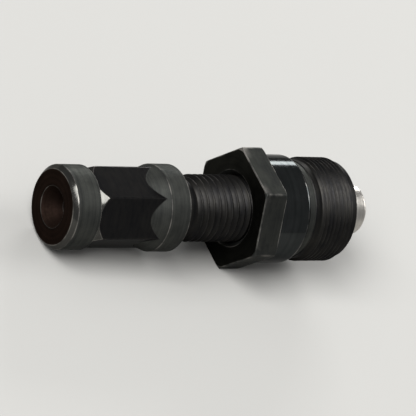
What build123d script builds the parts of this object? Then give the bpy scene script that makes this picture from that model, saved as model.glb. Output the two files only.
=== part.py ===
"""Crank puller: a threaded body with a screw spindle, which presses through a tip that swivels.

Millimetres. The tool's axis is X, from the spindle's head (-X) to its tip (+X), and +Z is up.
The origin is on the axis where the body's outer thread starts. The body lies on one flat of its hexagon.
"""
from build123d import *

import os
from math import cos, pi, radians, sin, sqrt, tan

# Puller body: outer thread, relief, collar and hexagon
crank_thread_diameter = 22.0
crank_thread_length = 11.0
crank_thread_lead_in = 0.9
crank_relief_depth = 0.8
crank_relief_length = 1.8
body_collar_diameter = 22.8
body_collar_length = 7.5
body_collar_chamfer = 0.6
body_hex_across_flats = 23.0
body_hex_length = 5.5
body_hex_corner_break = 0.5
body_hex_corner_angle = 30.0

# Pressing screw and its bore in the body
screw_diameter = 14.0
screw_pitch = 1.5
screw_length = 35.5
screw_clearance = 0.05
bore_countersink = 0.95
exposed_screw = 15.6

# Drive end of the spindle: head, drive hexagon and collar
head_diameter = 17.2
head_length = 6.3
head_chamfer = 0.9
drive_hex_across_flats = 15.0
drive_hex_length = 16.8
drive_corner_break = 1.4
drive_corner_angle = 35.0
shoulder_angle = 21.5
collar_diameter = 18.0
collar_length = 5.1
collar_chamfer = 0.5
centre_mouth_diameter = 8.5
centre_pilot_diameter = 4.0
centre_pilot_length = 5.0
centre_cone_angle = 30.0

# Groove behind the collar where the thread runs out, and radii of both thread reliefs
screw_relief_length = 1.6
relief_radius = 0.4

# Nose, with the blind bore that takes the tip's stem and the ball
nose_length = 5.9
nose_step = 0.2
nose_chamfer = 0.4
drill_point_angle = 59.0

# Swivel tip
pad_diameter = 10.6
pad_length = 5.1
pad_face_chamfer = 1.0
pad_back_chamfer = 0.4
pad_gap = 0.3
stem_diameter = 6.0
stem_length = 8.0
stem_chamfer = 0.5
stem_clearance = 0.1

# Ball and retaining ring
ball_clearance = 0.05
ring_wire = 1.0
ring_clearance = 0.1
ring_set_back = 4.2
ring_gap_angle = 40.0

# Stations of the body along the axis
relief_start = -crank_relief_length
body_collar_start = relief_start - body_collar_length
body_face = body_collar_start - body_hex_length

# Stations of the spindle along the axis
collar_rim = body_face - exposed_screw
collar_start = collar_rim - collar_length
hex_start = collar_start - drive_hex_length
head_face = hex_start - head_length
screw_start = collar_rim + screw_relief_length
screw_end = screw_start + screw_length
nose_end = screw_end + nose_length

# The depth of a metric thread sets the screw's end chamfers, its relief and the nose that passes the nut
thread_depth = 17 / 24 * sqrt(3) / 2 * screw_pitch
screw_radius = screw_diameter / 2
root_radius = screw_radius - thread_depth
nose_radius = root_radius - nose_step
bore_radius = screw_radius + screw_clearance

# Stations of the tip, ball and ring along the axis
pad_back = nose_end + pad_gap
pad_face = pad_back + pad_length
stem_end = pad_back - stem_length
ball_radius = stem_diameter / 2
ball_centre = stem_end - ball_clearance - ball_radius
stem_bore_radius = stem_diameter / 2 + stem_clearance
drill_point = ball_centre - (ball_radius + ball_clearance) / sin(radians(drill_point_angle))
drill_shoulder = drill_point + stem_bore_radius / tan(radians(drill_point_angle))
ring_centre = nose_end - ring_set_back
ring_groove_half = ring_wire / 2 + ring_clearance
ring_groove_radius = stem_bore_radius + ring_groove_half
stem_groove_radius = stem_diameter / 2 - ring_wire - ring_clearance

os.makedirs("parts", exist_ok=True)


# Puller body: hexagon, then the turned collar and outer thread, bored through for the screw
hex_corner_ratio = 1 / cos(pi / 6)
body_hex_radius = body_hex_across_flats / 2
body_hex_corner = body_hex_radius * hex_corner_ratio
body_hex_face_radius = body_hex_corner - body_hex_corner_break
body_corner_drop = body_hex_corner_break * tan(radians(body_hex_corner_angle))
body_collar_radius = body_collar_diameter / 2
crank_thread_radius = crank_thread_diameter / 2
crank_relief_radius = crank_thread_radius - crank_relief_depth
body_relief_radius = min(relief_radius, crank_relief_length / 3, crank_relief_depth / 2)

with BuildPart() as puller_body:
    with BuildSketch(Plane.YZ.offset(body_face)):
        RegularPolygon(radius=body_hex_radius, side_count=6, major_radius=False)
    extrude(amount=body_hex_length)
    with BuildSketch(Plane.XY):
        with BuildLine():
            Polyline(
                (body_face, 0),
                (body_face, body_hex_face_radius),
                (body_face + body_corner_drop, body_hex_corner),
                (body_collar_start - body_corner_drop, body_hex_corner),
                (body_collar_start, body_hex_face_radius),
                (body_collar_start, 0),
                close=True,
            )
        make_face()
    revolve(axis=Axis.X, mode=Mode.INTERSECT)
    with BuildSketch(Plane.XY) as body_turned:
        with BuildLine():
            Polyline(
                (body_collar_start, 0),
                (body_collar_start, body_collar_radius),
                (relief_start - body_collar_chamfer, body_collar_radius),
                (relief_start, body_collar_radius - body_collar_chamfer),
                (relief_start, crank_relief_radius),
                (0, crank_relief_radius),
                (0, crank_thread_radius),
                (crank_thread_length - crank_thread_lead_in, crank_thread_radius),
                (crank_thread_length, crank_thread_radius - crank_thread_lead_in),
                (crank_thread_length, 0),
                close=True,
            )
        make_face()
        groove_corners = body_turned.vertices().filter_by_position(
            Axis.Y, crank_relief_radius, crank_relief_radius
        )
        fillet(groove_corners, radius=body_relief_radius)
    revolve(axis=Axis.X)
    with BuildSketch(Plane.XY):
        with BuildLine():
            Polyline(
                (body_face, 0),
                (body_face, bore_radius + bore_countersink),
                (body_face + bore_countersink, bore_radius),
                (crank_thread_length - bore_countersink, bore_radius),
                (crank_thread_length, bore_radius + bore_countersink),
                (crank_thread_length, 0),
                close=True,
            )
        make_face()
    revolve(axis=Axis.X, mode=Mode.SUBTRACT)

puller_body.part.label = "puller_body"
export_step(puller_body.part, "parts/puller_body.step")


# Drive spindle: the hexagon's corners are broken where they meet the head, and a cone climbs to the collar
drive_hex_radius = drive_hex_across_flats / 2
drive_hex_corner = drive_hex_radius * hex_corner_ratio
head_radius = head_diameter / 2
collar_radius = collar_diameter / 2
corner_start_radius = drive_hex_corner - drive_corner_break
corner_run = drive_corner_break / tan(radians(drive_corner_angle))
shoulder_run = (collar_radius - drive_hex_radius) / tan(radians(shoulder_angle))
screw_relief_corner = min(relief_radius, screw_relief_length / 3)
centre_cone_depth = (centre_mouth_diameter - centre_pilot_diameter) / 2 / tan(radians(centre_cone_angle))

with BuildPart() as drive_spindle:
    with BuildSketch(Plane.YZ.offset(hex_start)):
        RegularPolygon(radius=drive_hex_radius, side_count=6, major_radius=False)
    extrude(amount=drive_hex_length)
    with BuildSketch(Plane.XY):
        with BuildLine():
            Polyline(
                (hex_start, 0),
                (hex_start, corner_start_radius),
                (hex_start + corner_run, drive_hex_corner),
                (collar_start, drive_hex_corner),
                (collar_start, 0),
                close=True,
            )
        make_face()
    revolve(axis=Axis.X, mode=Mode.INTERSECT)
    with BuildSketch(Plane.XY):
        with BuildLine():
            Polyline(
                (head_face, 0),
                (head_face, head_radius - head_chamfer),
                (head_face + head_chamfer, head_radius),
                (hex_start, head_radius),
                (hex_start, 0),
                close=True,
            )
        make_face()
    revolve(axis=Axis.X)
    with BuildSketch(Plane.XY) as spindle_turned:
        with BuildLine():
            Polyline(
                (collar_start - shoulder_run, 0),
                (collar_start - shoulder_run, drive_hex_radius),
                (collar_start, collar_radius),
                (collar_rim - collar_chamfer, collar_radius),
                (collar_rim, collar_radius - collar_chamfer),
                (collar_rim, nose_radius),
                (screw_start, nose_radius),
                (screw_start + screw_radius - nose_radius, screw_radius),
                (screw_end - screw_radius + nose_radius, screw_radius),
                (screw_end, nose_radius),
                (nose_end - nose_chamfer, nose_radius),
                (nose_end, nose_radius - nose_chamfer),
                (nose_end, 0),
                close=True,
            )
        make_face()
        relief_corners = spindle_turned.vertices().filter_by_position(
            Axis.X, collar_rim, collar_rim
        ).filter_by_position(Axis.Y, nose_radius, nose_radius)
        fillet(relief_corners, radius=screw_relief_corner)
    revolve(axis=Axis.X)
    with BuildSketch(Plane.XY):
        with BuildLine():
            Polyline(
                (head_face, 0),
                (head_face, centre_mouth_diameter / 2),
                (head_face + centre_cone_depth, centre_pilot_diameter / 2),
                (head_face + centre_cone_depth + centre_pilot_length, centre_pilot_diameter / 2),
                (head_face + centre_cone_depth + centre_pilot_length, 0),
                close=True,
            )
        make_face()
    revolve(axis=Axis.X, mode=Mode.SUBTRACT)
    with BuildSketch(Plane.XY):
        with BuildLine():
            Polyline(
                (drill_point, 0),
                (drill_shoulder, stem_bore_radius),
                (ring_centre - ring_groove_half, stem_bore_radius),
                (ring_centre - ring_groove_half, ring_groove_radius),
                (ring_centre + ring_groove_half, ring_groove_radius),
                (ring_centre + ring_groove_half, stem_bore_radius),
                (nose_end, stem_bore_radius),
                (nose_end, 0),
                close=True,
            )
        make_face()
    revolve(axis=Axis.X, mode=Mode.SUBTRACT)

drive_spindle.part.label = "drive_spindle"
export_step(drive_spindle.part, "parts/drive_spindle.step")


# Swivel tip: push pad and stem turned in one, with a groove deep enough to swallow the ring
stem_radius = stem_diameter / 2
pad_radius = pad_diameter / 2

with BuildPart() as swivel_tip:
    with BuildSketch(Plane.XY):
        with BuildLine():
            Polyline(
                (stem_end, 0),
                (stem_end, stem_radius - stem_chamfer),
                (stem_end + stem_chamfer, stem_radius),
                (ring_centre - ring_groove_half, stem_radius),
                (ring_centre - ring_groove_half, stem_groove_radius),
                (ring_centre + ring_groove_half, stem_groove_radius),
                (ring_centre + ring_groove_half, stem_radius),
                (pad_back, stem_radius),
                (pad_back, pad_radius - pad_back_chamfer),
                (pad_back + pad_back_chamfer, pad_radius),
                (pad_face - pad_face_chamfer, pad_radius),
                (pad_face, pad_radius - pad_face_chamfer),
                (pad_face, 0),
                close=True,
            )
        make_face()
    revolve(axis=Axis.X)

swivel_tip.part.label = "swivel_tip"
export_step(swivel_tip.part, "parts/swivel_tip.step")


# Thrust ball: bears on the drill point's cone and on the stem's end
with BuildPart() as thrust_ball:
    with Locations((ball_centre, 0, 0)):
        Sphere(radius=ball_radius)

thrust_ball.part.label = "thrust_ball"
export_step(thrust_ball.part, "parts/thrust_ball.step")


# Retaining ring: round wire, open at the bottom, sprung outwards into the bore's groove
ring_mean_radius = ring_groove_radius - ring_clearance - ring_wire / 2
ring_plane = Plane.XY.rotated((-90 + ring_gap_angle / 2, 0, 0))

with BuildPart() as retaining_ring:
    with BuildSketch(ring_plane):
        with Locations((ring_centre, ring_mean_radius)):
            Circle(radius=ring_wire / 2)
    revolve(axis=Axis.X, revolution_arc=360 - ring_gap_angle)

retaining_ring.part.label = "retaining_ring"
export_step(retaining_ring.part, "parts/retaining_ring.step")
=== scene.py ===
from math import cos, floor, pi, radians, sin, sqrt, tan

import bmesh
import bpy
from mathutils import Matrix, Vector


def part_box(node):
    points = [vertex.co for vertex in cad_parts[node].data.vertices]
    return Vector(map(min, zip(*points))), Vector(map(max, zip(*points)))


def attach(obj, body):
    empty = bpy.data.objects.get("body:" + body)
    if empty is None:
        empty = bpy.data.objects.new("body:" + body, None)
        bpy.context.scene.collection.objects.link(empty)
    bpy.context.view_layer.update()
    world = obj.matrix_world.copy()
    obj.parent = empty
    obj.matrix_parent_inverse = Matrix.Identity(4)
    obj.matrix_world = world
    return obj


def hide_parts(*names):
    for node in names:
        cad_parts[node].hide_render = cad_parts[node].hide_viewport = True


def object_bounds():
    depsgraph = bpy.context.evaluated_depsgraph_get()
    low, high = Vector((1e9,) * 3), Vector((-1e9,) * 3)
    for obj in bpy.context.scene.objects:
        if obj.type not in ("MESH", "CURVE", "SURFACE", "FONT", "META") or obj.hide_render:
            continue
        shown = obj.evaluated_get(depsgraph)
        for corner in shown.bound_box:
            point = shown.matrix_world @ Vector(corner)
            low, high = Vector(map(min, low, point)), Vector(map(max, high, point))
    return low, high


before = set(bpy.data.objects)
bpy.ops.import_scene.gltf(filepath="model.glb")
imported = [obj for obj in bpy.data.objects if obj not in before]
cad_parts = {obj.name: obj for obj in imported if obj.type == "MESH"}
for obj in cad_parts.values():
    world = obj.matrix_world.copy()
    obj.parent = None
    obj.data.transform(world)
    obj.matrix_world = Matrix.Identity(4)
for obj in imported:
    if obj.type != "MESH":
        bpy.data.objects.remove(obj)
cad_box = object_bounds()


# Puller body: turned from hexagon steel bar and blackened in a hot oxide bath. It is held by its hexagon,
# goes in as far as the burnished collar and is fixed by the fine outer thread beyond the relief groove. The
# nut thread in its bore carries the spindle. A metric thread is 17/24 as deep as its full triangle.
mm = 0.001
body_low, body_high = (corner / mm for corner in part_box("puller_body"))
body_face = body_low.x
body_end = body_high.x
body_flat = body_high.z
half_side = pi / 6
body_corner = body_flat / cos(half_side)
body_corner_break = 0.5
body_corner_slope = tan(radians(30))
body_hex_length = 5.5
body_collar_start = body_face + body_hex_length
body_collar_length = 7.5
body_collar_end = body_collar_start + body_collar_length
body_collar_radius = 11.4
body_collar_chamfer = 0.6
body_collar_ease = 0.4
ridge_wear_width = 0.3
ridge_wear_angle = ridge_wear_width / body_high.y
corner_wear_angle = radians(13)
corner_wear_length = 1.8
edge_break = 0.12
edge_ease = 0.16
ease_share = 0.45
ease_steps = 4
outer_relief_radius = 10.2
outer_thread_radius = 11.0
outer_thread_pitch = 1.0
outer_thread_crest = 0.7
outer_lead_in = 0.9
outer_thread_stop = body_end - outer_lead_in / 2
outer_chamfer_start = body_end - outer_lead_in / 3
screw_radius = 7.0
screw_pitch = 1.5
nut_clearance = 0.1
bore_mouth = 0.95
thread_margin = 0.1
thread_share = 17 / 24 * sqrt(3) / 2
outer_depth = thread_share * outer_thread_pitch
outer_root = outer_thread_radius - outer_depth
nut_root = screw_radius + nut_clearance
nut_depth = thread_share * screw_pitch - nut_clearance
directions = 240
round_angles = [2 * pi * step / directions for step in range(directions)]


def off_corner(angle):
    """The angle from a direction to the nearest corner of a hexagon that has a corner in direction 0."""
    return abs((angle + half_side) % (2 * half_side) - half_side)


def hexagon_radius(angle, flat):
    """Distance from the axis to a hexagon in the direction of angle."""
    return flat / cos(half_side - off_corner(angle))


def eased(corners, ease):
    """A turned outline whose corners, but for the first and last, are eased to small curves. A corner is its
    station and radius, and its own ease where that differs. Each point is its station, its radius and how
    much the edge there is rubbed: 1 in the middle of an outward edge, 0 on plain faces."""
    outline = [(*corners[0], 0.0)]
    for before, corner, after in zip(corners, corners[1:], corners[2:]):
        own_ease = corner[2] if len(corner) == 3 else ease
        tip_of_corner = Vector(corner[:2])
        back = Vector(before[:2]) - tip_of_corner
        on = Vector(after[:2]) - tip_of_corner
        outward = 1.0 if back.x * on.y - back.y * on.x > 0 else 0.0
        start = tip_of_corner + back.normalized() * min(own_ease, ease_share * back.length)
        end = tip_of_corner + on.normalized() * min(own_ease, ease_share * on.length)
        for step in range(ease_steps + 1):
            t = step / ease_steps
            place = start * (1 - t)**2 + tip_of_corner * (2 * t * (1 - t)) + end * t**2
            outline.append((place.x, place.y, outward * sin(pi * t)))
    return outline + [(*corners[-1], 0.0)]


def lathe(mesh, angles, outline):
    """Rings of vertices for an outline that may change with the direction, joined by faces. Gives back the
    first ring and the last."""
    rubbed = mesh.verts.layers.float["rubbed"]
    columns = [outline(angle) for angle in angles]
    rings = []
    for place in range(len(columns[0])):
        ring = []
        for angle, column in zip(angles, columns):
            x, r, rub = column[place]
            vertex = mesh.verts.new(Vector((x, r * cos(angle), r * sin(angle))) * mm)
            vertex[rubbed] = rub
            ring.append(vertex)
        rings.append(ring)
    for near, far in zip(rings, rings[1:]):
        for i in range(len(near)):
            mesh.faces.new((near[i - 1], near[i], far[i], far[i - 1]))
    return rings[0], rings[-1]


# One pitch of a thread with softened crest and root: each point's shares of the pitch and of the depth.
thread_form = [(0, 0), (0.085, 0.04), (0.40, 0.92), (0.445, 1), (0.555, 1), (0.60, 0.92), (0.915, 0.04)]
fade_rate = 3
crest_rub = 0.6


def cut_thread(mesh, angles, near, far, start, end, pitch, crest_at, root, depth, limit=lambda x, r: r):
    """A right-hand thread between two rings of root radius, with a crest at station crest_at or whole pitches
    from it. Its rows follow the helix, its height fades in and out over a third of a turn, and limit holds it
    under the chamfers at the ends."""
    rubbed = mesh.verts.layers.float["rubbed"]
    count = len(angles)
    start += (crest_at - pitch / 2 - start) % pitch
    last = count * floor((end - start) / pitch - 1)
    rows = {}
    for step in range(last + count + 1):
        angle = angles[step % count]
        turn = step // count + (angle - angles[0]) / (2 * pi)
        fade = max(0.0, min(1.0, fade_rate * turn, fade_rate * (last / count - turn)))
        for j, (offset, lift) in enumerate(thread_form):
            if step > last and j:
                continue
            x = start + pitch * (turn + offset)
            r = limit(x, root + depth * lift * fade)
            vertex = mesh.verts.new(Vector((x, r * cos(angle), r * sin(angle))) * mm)
            vertex[rubbed] = crest_rub if lift == 1 else 0.0
            rows[step, j] = vertex
    for step in range(last):
        for j in range(len(thread_form)):
            up = (step, j + 1) if j + 1 < len(thread_form) else (step + count, 0)
            mesh.faces.new((rows[step, j], rows[step + 1, j], rows[up[0] + 1, up[1]], rows[up]))
    first_column = [rows[0, j] for j in range(len(thread_form))]
    last_column = [rows[last, j] for j in range(1, len(thread_form))]
    for i in range(count):
        face = [near[i], near[(i + 1) % count], rows[i + 1, 0], rows[i, 0]]
        if i == count - 1:
            face[2:2] = first_column
        mesh.faces.new(face)
        k = last + i
        face = [rows[k, 0], rows[k + 1, 0], far[(i + 1) % count], far[i]]
        if i == 0:
            face += [rows[last + count, 0]] + last_column[::-1]
        mesh.faces.new(face)


def new_mesh():
    """An empty mesh with room for how much each edge is rubbed."""
    mesh = bmesh.new()
    mesh.verts.layers.float.new("rubbed")
    return mesh


same_place = 1e-8


def new_piece(name, mesh, finishes, finish_of):
    """A smooth-shaded object from the mesh, with a finish for each face chosen by its middle and normal."""
    bmesh.ops.remove_doubles(mesh, verts=mesh.verts, dist=same_place)
    bmesh.ops.recalc_face_normals(mesh, faces=mesh.faces)
    for face in mesh.faces:
        face.smooth = True
        face.material_index = finishes.index(finish_of(face.calc_center_median() / mm, face.normal))
    data = bpy.data.meshes.new(name)
    mesh.to_mesh(data)
    mesh.free()
    piece = bpy.data.objects.new(name, data)
    bpy.context.scene.collection.objects.link(piece)
    for finish in finishes:
        data.materials.append(finish)
    even = piece.modifiers.new("even_shading", "WEIGHTED_NORMAL")
    even.keep_sharp = True
    return piece


def linear(colour):
    """A linear colour from an sRGB hex value."""
    parts = [int(colour[i:i + 2], 16) / 255 for i in (1, 3, 5)]
    return [p / 12.92 if p <= 0.04045 else ((p + 0.055) / 1.055)**2.4 for p in parts] + [1.0]


def add(tree, kind, inputs, **settings):
    """A node with its settings. Each input takes a value or a link from another node's output."""
    node = tree.nodes.new(kind)
    for name, value in settings.items():
        setattr(node, name, value)
    for name, value in inputs.items():
        if isinstance(value, bpy.types.NodeSocket):
            tree.links.new(value, node.inputs[name])
        else:
            node.inputs[name].default_value = value
    return node


# Bare steel shows where a film is rubbed through, in patches as large as a blotch. Sizes are in millimetres.
# Each span is the part of a noise's range that is used. A mix node takes its two colours at these places.
bare_steel = "#8C8883"
blotch_size = 3
grain_size = 0.6
film_span = (0.35, 0.65)
patch_span = (0.4, 0.65)
grain_span = (0.3, 0.7)
first_colour, second_colour = 6, 7


def steel(name, dark, light, roughness, spread, ring_width, ring_depth, worn=0.0, grazing=1.0):
    """Steel with tool marks that run in rings round the axis, sizes in millimetres. Its colour wanders from
    dark to light and its roughness by spread, edges are worn to bare metal by the share worn, and grazing is
    how much of a clean metal's shine it keeps at a low angle."""
    material = bpy.data.materials.new(name)
    material.use_nodes = True
    tree = material.node_tree
    shader = tree.nodes["Principled BSDF"]
    shader.inputs["Metallic"].default_value = 1.0
    shader.inputs["Specular Tint"].default_value = (grazing, grazing, grazing, 1)
    place = add(tree, "ShaderNodeTexCoord", {}).outputs["Object"]
    along = add(tree, "ShaderNodeSeparateXYZ", {"Vector": place})
    from_axis = add(tree, "ShaderNodeVectorMath", {0: place, 1: (0, 1, 1)}, operation="MULTIPLY")
    radius = add(tree, "ShaderNodeVectorMath", {0: from_axis.outputs["Vector"]}, operation="LENGTH")
    round_axis = add(tree, "ShaderNodeCombineXYZ", {"X": along.outputs["X"], "Y": radius.outputs["Value"]})
    rings = add(tree, "ShaderNodeTexNoise", {"Vector": round_axis.outputs["Vector"], "Detail": 3,
                                             "Scale": 1 / (ring_width * mm), "Roughness": 0.6},
                noise_dimensions="2D")
    blotch = add(tree, "ShaderNodeTexNoise", {"Vector": place, "Scale": 1 / (blotch_size * mm), "Detail": 4})
    grain = add(tree, "ShaderNodeTexNoise", {"Vector": place, "Scale": 1 / (grain_size * mm), "Detail": 3})
    wander = add(tree, "ShaderNodeMix", {"Factor": 0.5, "A": blotch.outputs["Fac"],
                                         "B": rings.outputs["Fac"]})
    share = add(tree, "ShaderNodeMapRange", {"Value": wander.outputs[0], "From Min": film_span[0],
                                             "From Max": film_span[1]})
    film = add(tree, "ShaderNodeMix", {"Factor": share.outputs[0], first_colour: linear(dark),
                                       second_colour: linear(light)}, data_type="RGBA")
    edge = add(tree, "ShaderNodeAttribute", {}, attribute_name="rubbed")
    patch = add(tree, "ShaderNodeMapRange", {"Value": blotch.outputs["Fac"], "From Min": patch_span[0],
                                             "From Max": patch_span[1], "To Max": worn})
    bare = add(tree, "ShaderNodeMath", {0: edge.outputs["Fac"], 1: patch.outputs[0]}, operation="MULTIPLY")
    colour = add(tree, "ShaderNodeMix", {"Factor": bare.outputs[0], first_colour: film.outputs[2],
                                         second_colour: linear(bare_steel)}, data_type="RGBA")
    gloss = add(tree, "ShaderNodeMapRange", {"Value": grain.outputs["Fac"], "From Min": grain_span[0],
                                             "From Max": grain_span[1], "To Min": roughness - spread,
                                             "To Max": roughness + spread})
    ridges = add(tree, "ShaderNodeBump", {"Height": rings.outputs["Fac"], "Strength": 1,
                                          "Distance": ring_depth * mm})
    tree.links.new(colour.outputs[2], shader.inputs["Base Color"])
    tree.links.new(gloss.outputs[0], shader.inputs["Roughness"])
    tree.links.new(ridges.outputs[0], shader.inputs["Normal"])
    return material


# Hot black oxide is a film a thousandth of a millimetre thick: near black and oily, with the tool's marks
# showing through, and it takes up half of the shine at a low angle. Turned faces are satin with fine rings,
# drawn several times coarser than the real feed of 0.1 mm so that they show. The flats are drawn bar, faced
# ends are coloured darker, partly as painted shade for the dark surroundings they mirror, the collar is
# burnished to a gloss, and cut threads are darker and hardly worn.
film_grazing = 0.5
turned_oxide = steel("black_oxide_on_turned_steel", dark="#2D2E2D", light="#40413E", roughness=0.56,
                     spread=0.06, ring_width=0.6, ring_depth=0.03, worn=0.8, grazing=film_grazing)
drawn_oxide = steel("black_oxide_on_drawn_steel", dark="#2C2D2C", light="#383936", roughness=0.48,
                    spread=0.05, ring_width=0.8, ring_depth=0.012, worn=0.8, grazing=film_grazing)
# Faced ends: a darker film colour, partly painted shade for the dark surroundings these faces mirror.
faced_oxide_and_shade = steel("black_oxide_and_painted_shade_on_faced_steel", dark="#141412", light="#1E1E1B", roughness=0.5,
                    spread=0.06, ring_width=0.5, ring_depth=0.02, worn=0.4, grazing=film_grazing)
burnished_oxide = steel("black_oxide_on_burnished_steel", dark="#2B2D2D", light="#363838", roughness=0.12,
                        spread=0.02, ring_width=0.9, ring_depth=0.003, worn=0.8, grazing=film_grazing)
thread_oxide = steel("black_oxide_on_cut_thread", dark="#1D1D1E", light="#292826", roughness=0.46,
                     spread=0.05, ring_width=0.6, ring_depth=0.008, worn=0.12, grazing=film_grazing)


def body_outline(angle):
    """The body's outside from the bore's mouth to the start of the outer thread."""
    corner = hexagon_radius(angle, body_flat)
    face_corner = min(corner, body_corner - body_corner_break)
    drop = max(edge_break, (corner - face_corner) * body_corner_slope)
    face_corner -= edge_break
    ridge_wear = max(0.0, 1 - off_corner(angle) / ridge_wear_angle)
    corner_wear = max(0.0, 1 - off_corner(angle) / corner_wear_angle)
    outline = eased([
        (body_face + bore_mouth, nut_root),
        (body_face, nut_root + bore_mouth),
        (body_face, face_corner),
        (body_face + drop, corner),
        (body_face + drop + corner_wear_length, corner),
        (body_collar_start - drop, corner),
        (body_collar_start, max(face_corner, body_collar_radius)),
        (body_collar_start, body_collar_radius),
        (body_collar_end - body_collar_chamfer, body_collar_radius, body_collar_ease),
        (body_collar_end, body_collar_radius - body_collar_chamfer),
        (body_collar_end, outer_relief_radius),
        (0, outer_relief_radius),
        (thread_margin, outer_root),
        (2 * thread_margin, outer_root),
    ], edge_ease)
    for place, (x, r, rub) in enumerate(outline):
        from_face = min(1.0, (x - body_face) / corner_wear_length)
        if r > body_flat and x > body_face:
            outline[place] = (x, r, max(rub, ridge_wear, corner_wear * (1 - from_face)))
    return outline


def body_end_outline(angle):
    """The end of the outer thread, the end face and the far mouth of the bore."""
    return eased([
        (outer_thread_stop, outer_root),
        (outer_chamfer_start, outer_root),
        (body_end, outer_thread_radius - outer_lead_in),
        (body_end, nut_root + bore_mouth),
        (body_end - bore_mouth, nut_root),
    ], edge_ease)


def outer_limit(x, r):
    """Holds the outer thread under the chamfer at the body's end."""
    return min(r, outer_thread_radius - max(0.0, x - body_end + outer_lead_in))


square_to_axis = 0.99
in_line_with_axis = 0.02


def body_finish(middle, normal):
    """Which of the body's finishes a face has."""
    outside = middle.yz.length
    if outside < nut_root or 0 < middle.x < outer_chamfer_start:
        return thread_oxide
    if abs(normal.x) > square_to_axis:
        return faced_oxide_and_shade
    if middle.x < body_collar_start:
        return drawn_oxide if abs(normal.x) < in_line_with_axis else turned_oxide
    if middle.x < body_collar_end and outside > body_collar_radius - body_collar_chamfer:
        return burnished_oxide
    return turned_oxide


mesh = new_mesh()
mouth, thread_start = lathe(mesh, round_angles, body_outline)
thread_end, far_mouth = lathe(mesh, round_angles, body_end_outline)
cut_thread(mesh, round_angles, thread_start, thread_end, start=2 * thread_margin, end=outer_thread_stop,
           pitch=outer_thread_pitch, crest_at=outer_thread_crest, root=outer_root, depth=outer_depth,
           limit=outer_limit)
cut_thread(mesh, round_angles, mouth, far_mouth, start=body_face + bore_mouth, end=body_end - bore_mouth,
           pitch=screw_pitch, crest_at=screw_pitch / 2, root=nut_root, depth=-nut_depth)
body_finishes = [turned_oxide, drawn_oxide, faced_oxide_and_shade, burnished_oxide, thread_oxide]
body = new_piece("puller_body_visual", mesh, body_finishes, body_finish)
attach(body, "body")
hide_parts("puller_body")


# Drive spindle: one bar, turned with a head and a collar, milled to a 15 mm hexagon between them and cut with
# a screw thread, then blackened. The hexagon's corners are broken to bright facets by the head, and a cone
# climbs from its flats to the collar. The end face keeps the centre hole that held it in the lathe.
spindle_low, spindle_high = (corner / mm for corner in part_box("drive_spindle"))
head_face = spindle_low.x
head_length = 6.3
head_radius = 8.6
head_chamfer = 0.9
head_chamfer_end = head_face + head_chamfer
centre_mouth = 4.25
centre_pilot = 2.0
centre_pilot_length = 5.0
centre_slope = tan(radians(30))
centre_cone_end = head_face + (centre_mouth - centre_pilot) / centre_slope
centre_bottom = centre_cone_end + centre_pilot_length
drive_start = head_face + head_length
drive_length = 16.8
drive_flat = 7.5
drive_corner_break = 1.4
facet_start_radius = drive_flat / cos(half_side) - drive_corner_break
facet_slope = tan(radians(35))
shoulder_slope = tan(radians(21.5))
collar_start = drive_start + drive_length
collar_length = 5.1
collar_end = collar_start + collar_length
collar_radius = spindle_high.z
collar_chamfer = 0.5
relief_length = 1.6
screw_start = collar_end + relief_length
screw_depth = thread_share * screw_pitch
screw_root = screw_radius - screw_depth
nose_end = spindle_high.x
nose_length = 5.9
nose_step = 0.2
nose_radius = screw_root - nose_step
nose_chamfer = 0.4
screw_end = nose_end - nose_length
screw_lead = screw_root - nose_radius
thread_from = screw_start + screw_lead + thread_margin
thread_to = screw_end - screw_lead - thread_margin
stem_bore = 3.1
stem_bore_groove = 3.7
ring_set_back = 4.2
ring_middle = nose_end - ring_set_back
ring_half = 0.6
drill_shoulder = 0.153
drill_point = -1.708

# The same film on the spindle's other faces. Milled flats are smooth and dark. The head's chamfer and the
# corner facets are polished and flash in the light. The end face and the rough hole drilled in it are
# coloured dark brown; on the end face that darkness is partly painted shade, as on the other faced ends.
milled_oxide = steel("black_oxide_on_milled_steel", dark="#202021", light="#292827", roughness=0.3,
                     spread=0.012, ring_width=0.8, ring_depth=0.01, worn=0.4, grazing=film_grazing)
polished_oxide = steel("black_oxide_on_polished_steel", dark="#3E3D3B", light="#484845", roughness=0.16,
                       spread=0.03, ring_width=0.9, ring_depth=0.003, worn=0.8, grazing=film_grazing)
# Head's end face: a dark brown film colour, its darkness partly painted shade for the dark surroundings it
# mirrors.
brown_end_oxide_and_shade = steel("brown_toned_oxide_and_painted_shade_on_faced_steel", dark="#17110E", light="#221915", roughness=0.5,
                      spread=0.06, ring_width=0.5, ring_depth=0.02, worn=0.4, grazing=film_grazing)
drilled_oxide = steel("black_oxide_in_drilled_hole", dark="#1C1511", light="#271D19", roughness=0.75,
                      spread=0.06, ring_width=0.5, ring_depth=0.03, worn=0.3, grazing=film_grazing)


def drive_outline(angle):
    """From the bottom of the centre hole over head, hexagon and collar to the start of the screw thread."""
    corner = hexagon_radius(angle, drive_flat)
    return eased([
        (centre_bottom, centre_pilot),
        (centre_cone_end, centre_pilot),
        (head_face, centre_mouth),
        (head_face, head_radius - head_chamfer),
        (head_chamfer_end, head_radius),
        (drive_start, head_radius),
        (drive_start, facet_start_radius),
        (drive_start + (corner - facet_start_radius) / facet_slope, corner),
        (collar_start - (collar_radius - corner) / shoulder_slope, corner),
        (collar_start, collar_radius),
        (collar_end - collar_chamfer, collar_radius),
        (collar_end, collar_radius - collar_chamfer),
        (collar_end, nose_radius),
        (screw_start, nose_radius),
        (screw_start + screw_lead, screw_root),
        (thread_from, screw_root),
    ], edge_ease)


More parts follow.
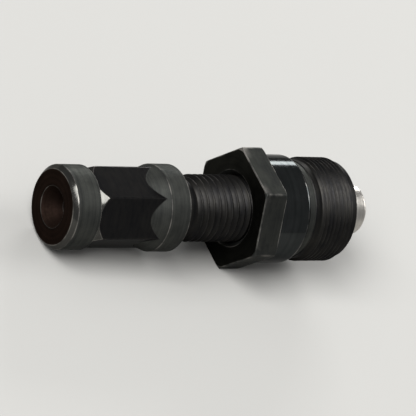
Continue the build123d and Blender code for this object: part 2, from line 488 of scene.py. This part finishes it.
def nose_outline(angle):
    """From the end of the screw thread over the nose and into the stem's bore."""
    return eased([
        (thread_to, screw_root),
        (screw_end - screw_lead, screw_root),
        (screw_end, nose_radius),
        (nose_end - nose_chamfer, nose_radius),
        (nose_end, nose_radius - nose_chamfer),
        (nose_end, stem_bore),
        (ring_middle + ring_half, stem_bore),
        (ring_middle + ring_half, stem_bore_groove),
        (ring_middle - ring_half, stem_bore_groove),
        (ring_middle - ring_half, stem_bore),
        (drill_shoulder, stem_bore),
    ], edge_ease / 2)


def screw_limit(x, r):
    """Holds the screw thread under the chamfers at both its ends."""
    return max(min(r, nose_radius + min(x - screw_start, screw_end - x)), min(r, screw_root))


def close(mesh, ring, x):
    """Closes a ring with faces to a point on the axis."""
    point = mesh.verts.new((x * mm, 0, 0))
    for i in range(len(ring)):
        mesh.faces.new((ring[i - 1], ring[i], point))


def spindle_finish(middle, normal):
    """Which of the spindle's finishes a face has."""
    if middle.x < centre_bottom and middle.yz.length < centre_mouth:
        return drilled_oxide
    if abs(normal.x) > square_to_axis:
        return brown_end_oxide_and_shade if middle.x < head_chamfer_end else faced_oxide_and_shade
    if middle.x < head_chamfer_end:
        return polished_oxide
    if drive_start < middle.x < collar_start:
        if abs(normal.x) < in_line_with_axis:
            return milled_oxide
        return polished_oxide if middle.x < (drive_start + collar_start) / 2 else turned_oxide
    if screw_start < middle.x < screw_end:
        return thread_oxide
    return turned_oxide


mesh = new_mesh()
hole_bottom, thread_start = lathe(mesh, round_angles, drive_outline)
thread_end, bore_bottom = lathe(mesh, round_angles, nose_outline)
cut_thread(mesh, round_angles, thread_start, thread_end, start=thread_from, end=thread_to, pitch=screw_pitch,
           crest_at=0.0, root=screw_root, depth=screw_depth, limit=screw_limit)
close(mesh, hole_bottom, centre_bottom)
close(mesh, bore_bottom, drill_point)
spindle_finishes = [turned_oxide, milled_oxide, faced_oxide_and_shade, polished_oxide, thread_oxide, drilled_oxide,
                    brown_end_oxide_and_shade]
spindle = new_piece("drive_spindle_visual", mesh, spindle_finishes, spindle_finish)
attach(spindle, "spindle")
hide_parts("drive_spindle")


# Thrust ball: a hardened bearing ball, dropped into the bore of the spindle's nose. It rests in the drill's
# point and takes the pressing force from the tip's stem, so the tip can stand still as the spindle turns.
ball_low, ball_high = (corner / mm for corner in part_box("thrust_ball"))
ball_middle = (ball_low.x + ball_high.x) / 2
ball_radius = (ball_high.x - ball_low.x) / 2
ball_rings = 48
small_directions = 96
small_angles = [2 * pi * step / small_directions for step in range(small_directions)]

# Ground bearing steel is bright and even, close to a mirror.
ball_steel = steel("ground_bearing_steel", dark="#C0C0C2", light="#C8C8CA", roughness=0.08, spread=0.01,
                   ring_width=0.5, ring_depth=0.0005)


def ball_outline(angle):
    """A half circle from pole to pole."""
    turns = [pi * step / ball_rings for step in range(1, ball_rings)]
    return [(ball_middle - ball_radius * cos(turn), ball_radius * sin(turn), 0.0) for turn in turns]


mesh = new_mesh()
inner_pole, outer_pole = lathe(mesh, small_angles, ball_outline)
close(mesh, inner_pole, ball_low.x)
close(mesh, outer_pole, ball_high.x)
ball = new_piece("thrust_ball_visual", mesh, [ball_steel], lambda middle, normal: ball_steel)
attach(ball, "ball")
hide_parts("thrust_ball")


# Retaining ring: a split ring of drawn spring wire on the tip's stem. It springs out into the groove of the
# bore, which keeps the tip from falling out. Its CAD solid has the right shape and only gets its finish here.

# Drawn wire is a duller grey, and its drawing marks run along the wire and so round the axis.
wire_steel = steel("drawn_spring_wire", dark="#85858A", light="#98989C", roughness=0.3, spread=0.04,
                   ring_width=0.3, ring_depth=0.004)
ring_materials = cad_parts["retaining_ring"].data.materials
ring_materials.clear()
ring_materials.append(wire_steel)


# Swivel tip: a push pad and its stem, turned in one from steel, hardened and left bare. The stem is pushed
# into the nose's bore up to the ball, until the ring on it springs into the bore's groove.
tip_low, tip_high = (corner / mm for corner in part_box("swivel_tip"))
stem_end = tip_low.x
stem_radius = 3.0
stem_chamfer = 0.5
stem_groove = 1.9
stem_end_inset = 1.5
pad_face = tip_high.x
pad_radius = tip_high.z
pad_length = 5.1
pad_back = pad_face - pad_length
pad_back_chamfer = 0.4
pad_face_chamfer = 1.0
pad_face_inset = 3.0

# Hardened steel left bare is a warm light grey. Its turning rings are drawn coarser than real, so as to show.
tip_steel = steel("turned_hardened_steel", dark="#98958F", light="#B3AFA9", roughness=0.3, spread=0.03,
                  ring_width=0.5, ring_depth=0.014)


def tip_outline(angle):
    """From the stem's end over its groove to the push pad's face."""
    return eased([
        (stem_end, stem_radius - stem_end_inset),
        (stem_end, stem_radius - stem_chamfer),
        (stem_end + stem_chamfer, stem_radius),
        (ring_middle - ring_half, stem_radius),
        (ring_middle - ring_half, stem_groove),
        (ring_middle + ring_half, stem_groove),
        (ring_middle + ring_half, stem_radius),
        (pad_back, stem_radius),
        (pad_back, pad_radius - pad_back_chamfer),
        (pad_back + pad_back_chamfer, pad_radius),
        (pad_face - pad_face_chamfer, pad_radius),
        (pad_face, pad_radius - pad_face_chamfer),
        (pad_face, pad_radius - pad_face_inset),
    ], edge_ease)


mesh = new_mesh()
stem_ring, pad_ring = lathe(mesh, small_angles, tip_outline)
close(mesh, stem_ring, stem_end)
close(mesh, pad_ring, pad_face)
tip = new_piece("swivel_tip_visual", mesh, [tip_steel], lambda middle, normal: tip_steel)
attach(tip, "tip")
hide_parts("swivel_tip")


# Bench: a plain pale matt board. The tool lies on the near edge of the body's hexagon and on the rim of its
# head, which is thinner, so the board falls away under the tip by a few degrees in the tool's own frame.
contact_near = Vector((body_face + edge_break, 0, -body_flat))
contact_head = Vector((head_chamfer_end, 0, -head_radius))
fall = (contact_near - contact_head).normalized()
level = Vector((0, 1, 0))
bench_size = 3.0
bench_mesh = bmesh.new()
bmesh.ops.create_grid(bench_mesh, x_segments=1, y_segments=1, size=bench_size / 2)
bench_data = bpy.data.meshes.new("bench")
bench_mesh.to_mesh(bench_data)
bench_mesh.free()
bench = bpy.data.objects.new("bench", bench_data)
bpy.context.scene.collection.objects.link(bench)
bench_turn = Matrix((fall, level, fall.cross(level))).transposed().to_4x4()
bench.matrix_world = Matrix.Translation(contact_near * mm) @ bench_turn
board = bpy.data.materials.new("pale_matt_board")
board.use_nodes = True
board_shader = board.node_tree.nodes["Principled BSDF"]
board_shader.inputs["Base Color"].default_value = linear("#9E9D9A")
board_shader.inputs["Roughness"].default_value = 0.9
bench_data.materials.append(board)


# Camera and light: the photograph's view of the tool, from 0.65 m, with its axis 54 degrees from the line of
# sight and nearly level. A large soft window stands above on the head's side, a narrow strip on the far side
# draws the bright line along the body's collar, and a box beyond the tip lights its end in a pale, even room.
view_off_axis = radians(54.4)
view_round_axis = radians(132.2)
view_roll = radians(0.45)
tool_axis = Vector((1, 0, 0))
view = Vector((-cos(view_off_axis), sin(view_off_axis) * cos(view_round_axis),
               sin(view_off_axis) * sin(view_round_axis)))
axis_in_view = (tool_axis - view * view.x).normalized()
right = Matrix.Rotation(view_roll, 3, view) @ axis_in_view
view_turn = Matrix((right, view.cross(right), view)).transposed().to_4x4()
middle = (cad_box[0] + cad_box[1]) / 2
distance = 0.65
picture_width = 0.086
film_width = 36
camera_data = bpy.data.cameras.new("camera")
camera_data.sensor_width = film_width
camera_data.lens = film_width * distance / picture_width
camera = bpy.data.objects.new("camera", camera_data)
bpy.context.scene.collection.objects.link(camera)
camera.matrix_world = Matrix.Translation(middle + view * distance) @ view_turn
bpy.context.scene.camera = camera


def soft_box(name, direction, reach, across, along, power):
    """A soft light that faces the tool from reach metres away, with its size across the tool and along it in
    metres and its power in watts."""
    facing = Vector(direction).normalized()
    along_tool = (tool_axis - facing * facing.x).normalized()
    light = bpy.data.lights.new(name, "AREA")
    light.shape = "RECTANGLE"
    light.size = along
    light.size_y = across
    light.energy = power
    lamp = bpy.data.objects.new(name, light)
    bpy.context.scene.collection.objects.link(lamp)
    lamp_turn = Matrix((along_tool, facing.cross(along_tool), facing)).transposed().to_4x4()
    lamp.matrix_world = Matrix.Translation(middle + facing * reach) @ lamp_turn


soft_box("window", (-0.57, -0.12, 0.81), reach=1.3, across=1.0, along=0.8, power=30.0)
soft_box("far_side_strip", (0.56, 0.78, 0.28), reach=0.8, across=0.14, along=0.3, power=3.2)
soft_box("tip_side_box", (0.90, 0.0, 0.45), reach=0.8, across=0.4, along=0.45, power=4.5)
world = bpy.data.worlds.new("pale_room")
world.use_nodes = True
room = world.node_tree.nodes["Background"]
room.inputs["Color"].default_value = linear("#F2F3F4")
room.inputs["Strength"].default_value = 0.48
bpy.context.scene.world = world
bpy.context.scene.view_settings.view_transform = "Standard"
